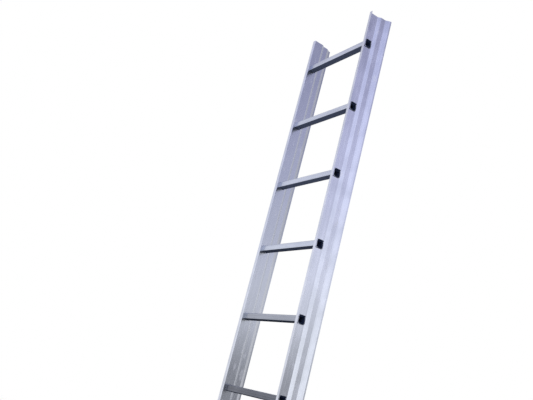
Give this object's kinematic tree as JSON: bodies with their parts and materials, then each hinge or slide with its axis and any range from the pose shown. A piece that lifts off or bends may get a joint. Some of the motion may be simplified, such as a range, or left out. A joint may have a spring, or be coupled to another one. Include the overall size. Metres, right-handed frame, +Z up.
{
  "type": "straight rung ladder",
  "caption": "Straight single-section aluminium ladder with stepped open stiles, square tube rungs swaged through them, bare top ends and riveted rubber shoes.",
  "frame": {"origin": "on the floor under the middle of the two shoes", "axes": "+Z up the stiles, +X along the rungs from the left stile to the right one, climbing side towards -Y"},
  "size_m": [0.418, 0.1042, 2.933],
  "materials": {
    "stile": "mill-finish extruded aluminium, satin, with fine lines along its length",
    "rung": "mill-finish extruded aluminium tube, satin, dull and dark inside",
    "foot": "black moulded rubber, matte",
    "rivet": "plain aluminium blind rivet"
  },
  "bodies": {
    "root": {"left_stile": "stile", "right_stile": "stile", "rung_01": "rung", "rung_02": "rung", "rung_03": "rung", "rung_04": "rung", "rung_05": "rung", "rung_06": "rung", "rung_07": "rung", "rung_08": "rung", "rung_09": "rung", "rung_10": "rung", "left_foot": "foot", "right_foot": "foot", "left_foot_rivets": "rivet", "right_foot_rivets": "rivet"}
  },
  "joints": []
}
